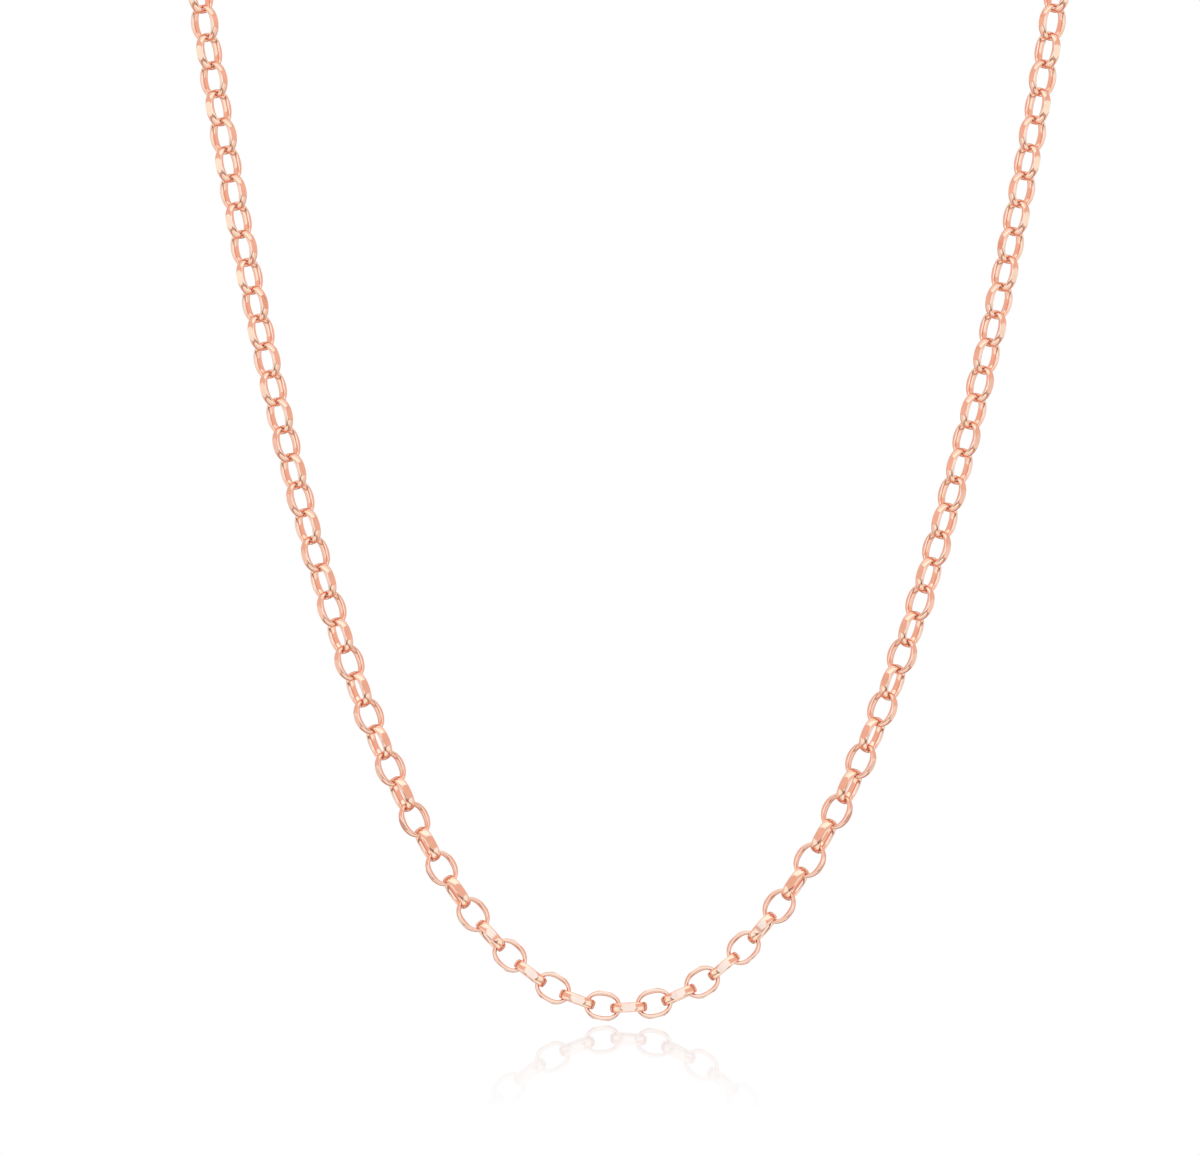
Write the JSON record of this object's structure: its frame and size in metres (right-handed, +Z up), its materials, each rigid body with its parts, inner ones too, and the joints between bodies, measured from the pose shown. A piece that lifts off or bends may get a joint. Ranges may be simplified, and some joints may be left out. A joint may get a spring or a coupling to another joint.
{
  "type": "cable chain necklace",
  "caption": "Neck chain of interlocked oval belcher links with domed band sections, hanging in a deep front drop and closed at the nape by a plain ring clasp.",
  "frame": {"origin": "middle of the clasp, where the loop lies on the nape of the neck", "axes": "+Z up, -Y towards the front of the wearer, +X to the viewer's right"},
  "size_m": [0.1072, 0.0736, 0.1741],
  "materials": {
    "links": "high polish rose gold",
    "clasp": "polished rose gold"
  },
  "bodies": {
    "root": {"chain_left": "links", "chain_right": "links", "clasp": "clasp"}
  },
  "joints": []
}
